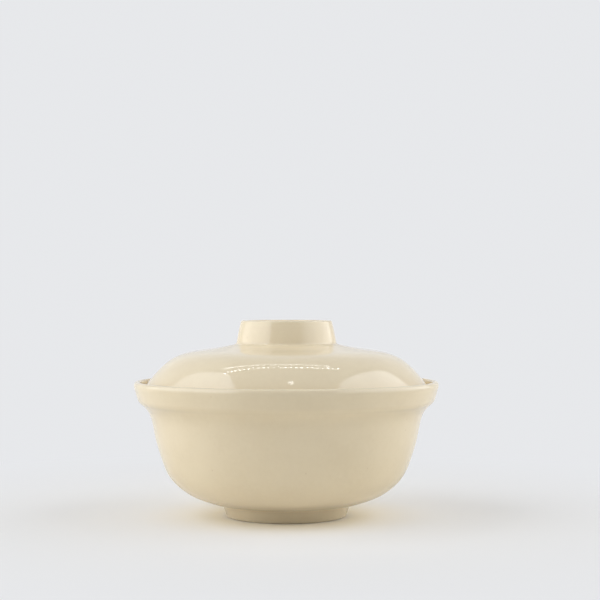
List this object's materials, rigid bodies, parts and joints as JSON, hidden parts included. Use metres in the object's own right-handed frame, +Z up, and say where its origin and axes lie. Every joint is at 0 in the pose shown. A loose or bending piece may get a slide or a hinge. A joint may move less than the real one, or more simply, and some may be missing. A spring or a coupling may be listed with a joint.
{
  "type": "lidded bowl",
  "caption": "Round deep bowl on a foot ring, with a flared stepped collar and a domed lift-off lid that sits inside the collar and has a wide ring knob.",
  "frame": {"origin": "on the turning axis, on the surface that the foot ring stands on", "axes": "+Z up along the turning axis; the picture looks along +Y, with +X to its right"},
  "size_m": [0.15, 0.15, 0.0963],
  "materials": {
    "bowl": "glossy cream moulded melamine",
    "lid": "glossy cream moulded melamine"
  },
  "bodies": {
    "bowl": {"bowl": "bowl"},
    "lid": {"lid": "lid"}
  },
  "joints": [
    {"name": "lid_lift", "type": "slide", "parent": "bowl", "child": "lid", "axis": [0, 0, 1], "range_m": [0, 0.08]}
  ]
}
